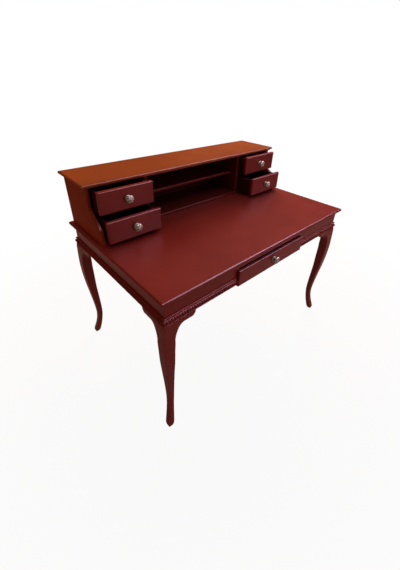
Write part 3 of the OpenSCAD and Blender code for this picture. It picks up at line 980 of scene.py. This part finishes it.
def aim_camera():
    """A wide camera at standing height, in front of the desk's left corner."""
    heading, tilt, roll = (math.radians(a) for a in (CAMERA_HEADING, CAMERA_TILT, CAMERA_ROLL))
    ahead = Vector((
        math.cos(heading) * math.cos(tilt), math.sin(heading) * math.cos(tilt), math.sin(tilt)
    ))
    right = ahead.cross(Vector((0, 0, 1))).normalized()
    up = right.cross(ahead)
    turned_right = math.cos(roll) * right + math.sin(roll) * up
    turned_up = math.cos(roll) * up - math.sin(roll) * right
    turn = Matrix((turned_right, turned_up, -ahead)).transposed()
    data = bpy.data.cameras.new("camera")
    data.sensor_width = 36
    data.lens = CAMERA_LENS
    data.shift_x, data.shift_y = CAMERA_SHIFT
    camera = bpy.data.objects.new("camera", data)
    camera.matrix_world = Matrix.Translation(CAMERA_PLACE) @ turn.to_4x4()
    bpy.context.scene.collection.objects.link(camera)
    bpy.context.scene.camera = camera


def area_light(name, place, target, size, power, colour, shows=("diffuse", "glossy")):
    """A soft light at a place, facing a target; shows says whether it lights, gleams, or both."""
    data = bpy.data.lights.new(name, "AREA")
    data.shape = "RECTANGLE"
    data.size, data.size_y = size
    data.energy = power
    data.color = colour
    lamp = bpy.data.objects.new(name, data)
    lamp.location = place
    lamp.visible_diffuse = "diffuse" in shows
    lamp.visible_glossy = "glossy" in shows
    lamp.rotation_euler = (Vector(target) - Vector(place)).to_track_quat("-Z", "Y").to_euler()
    bpy.context.scene.collection.objects.link(lamp)


def studio_floor():
    """A pale floor with a faint shadow, which runs to white for the camera and is clear from below.

    It has its own, darker tone for diffuse light and for reflections.
    """
    half = 30.0
    mesh = bpy.data.meshes.new("floor")
    corners = [(-half, -half, 0), (half, -half, 0), (half, half, 0), (-half, half, 0)]
    mesh.from_pydata(corners, [], [(0, 1, 2, 3)])
    finish = Shader("studio_floor")
    nodes, links = finish.tree.nodes, finish.tree.links
    rays = nodes.new("ShaderNodeLightPath").outputs
    camera_ray = rays["Is Camera Ray"]
    pale = tuple(colours().floor)
    cloudy = finish.span(finish.noise(finish.place, 30.0, 4.0), 0.3, 0.7)
    seen = finish.mix(cloudy, pale, tuple(0.985 * part for part in pale))
    mirrored = tuple(share * part for share, part in zip((0.48, 0.36, 0.36), pale))
    unseen = finish.mix(rays["Is Diffuse Ray"], mirrored, tuple(0.36 * part for part in pale))
    finish.link(finish.mix(camera_ray, unseen, seen), "Base Color")
    finish.set(Roughness=0.9, Specular_IOR_Level=0.1)
    away = nodes.new("ShaderNodeVectorMath")
    away.operation = "LENGTH"
    links.new(finish.place, away.inputs[0])
    glow = finish.span(away.outputs["Value"], 0.9, 2.2, 0.93, 1.0, smooth=True)
    white = nodes.new("ShaderNodeEmission")
    blend = nodes.new("ShaderNodeMixShader")
    links.new(finish.math("MULTIPLY", glow, camera_ray), blend.inputs[0])
    links.new(finish.surface.outputs["BSDF"], blend.inputs[1])
    links.new(white.outputs["Emission"], blend.inputs[2])
    clear = nodes.new("ShaderNodeBsdfTransparent")
    below = nodes.new("ShaderNodeMixShader")
    links.new(nodes.new("ShaderNodeNewGeometry").outputs["Backfacing"], below.inputs[0])
    links.new(blend.outputs["Shader"], below.inputs[1])
    links.new(clear.outputs["BSDF"], below.inputs[2])
    links.new(below.outputs["Shader"], finish.output.inputs["Surface"])
    mesh.materials.append(finish.material)
    floor = bpy.data.objects.new("floor", mesh)
    bpy.context.scene.collection.objects.link(floor)


def studio_world():
    """A dim even surround, and plain white where the camera looks past the floor."""
    world = bpy.data.worlds.new("studio")
    bpy.context.scene.world = world
    world.use_nodes = True
    tree = world.node_tree
    background = tree.nodes["Background"]
    level = tree.nodes.new("ShaderNodeMapRange")
    level.inputs["To Min"].default_value = 0.03
    tree.links.new(tree.nodes.new("ShaderNodeLightPath").outputs["Is Camera Ray"], level.inputs["Value"])
    tree.links.new(level.outputs["Result"], background.inputs["Strength"])
    background.inputs["Color"].default_value = (1, 1, 1, 1)


class DESK_OT_stage(DeskOperator):
    """Sets the floor, the soft lights and the camera"""

    bl_idname = "desk.stage"
    bl_label = "Stage"

    def execute(self, context):
        context.scene.view_settings.view_transform = "Standard"
        studio_floor()
        studio_world()
        desk = (0.0, 0.0, 0.8)
        # Each light only lights or only gleams, so that body tone and highlights are set apart
        lit, gleam = ("diffuse",), ("glossy",)
        area_light("warm_window", (2.6, 1.7, 2.6), desk, (2.6, 2.6), 165.0, (1.0, 0.76, 0.60), lit)
        area_light("window_sheen", (2.6, 1.7, 2.6), desk, (2.6, 2.6), 11.0, (1.0, 0.80, 0.80), gleam)
        area_light("warm_back", (0.0, 2.6, 2.6), desk, (3.0, 2.0), 22.0, (1.0, 0.70, 0.52), lit)
        area_light("ceiling", (0.0, -0.3, 3.4), desk, (3.0, 3.0), 24.0, (1.0, 0.80, 0.86), lit)
        area_light("edge_window", (1.6, -1.5, 2.95), desk, (3.2, 2.2), 220.0, (0.92, 0.74, 1.0), gleam)
        area_light("front", (0.6, -3.2, 1.0), (0.0, 0.0, 0.5), (2.6, 1.6), 22.0, (1.0, 0.74, 0.82), lit)
        area_light("warm_side", (-3.2, 0.4, 1.2), (0.0, 0.0, 0.7), (2.4, 2.0), 10.5, (1.0, 0.48, 0.14), lit)
        aim_camera()
        return {"FINISHED"}


BUILDERS = (
    DESK_OT_table_top,
    DESK_OT_legs,
    DESK_OT_knee_brackets,
    DESK_OT_mouldings,
    DESK_OT_frame_boards,
    DESK_OT_hutch,
    DESK_OT_drawers,
    DESK_OT_knobs,
    DESK_OT_stage,
)


class DESK_PT_panel(bpy.types.Panel):
    """Lists the desk's operators and settings"""

    bl_idname = "DESK_PT_panel"
    bl_label = "Writing desk"
    bl_space_type = "VIEW_3D"
    bl_region_type = "UI"
    bl_category = "Desk"

    def draw(self, context):
        for group in (context.scene.desk_sizes, context.scene.desk_colours):
            for setting in group.__annotations__:
                self.layout.prop(group, setting)
        for builder in BUILDERS:
            self.layout.operator(builder.bl_idname)


CLASSES = (DeskSizes, DeskColours) + BUILDERS + (DESK_PT_panel,)


def register():
    for cls in CLASSES:
        bpy.utils.register_class(cls)
    bpy.types.Scene.desk_sizes = bpy.props.PointerProperty(type=DeskSizes)
    bpy.types.Scene.desk_colours = bpy.props.PointerProperty(type=DeskColours)


def unregister():
    del bpy.types.Scene.desk_sizes
    del bpy.types.Scene.desk_colours
    for cls in reversed(CLASSES):
        bpy.utils.unregister_class(cls)


def main():
    """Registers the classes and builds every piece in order."""
    register()
    for builder in BUILDERS:
        group, name = builder.bl_idname.split(".")
        getattr(getattr(bpy.ops, group), name)()


if __name__ == "__main__":
    main()
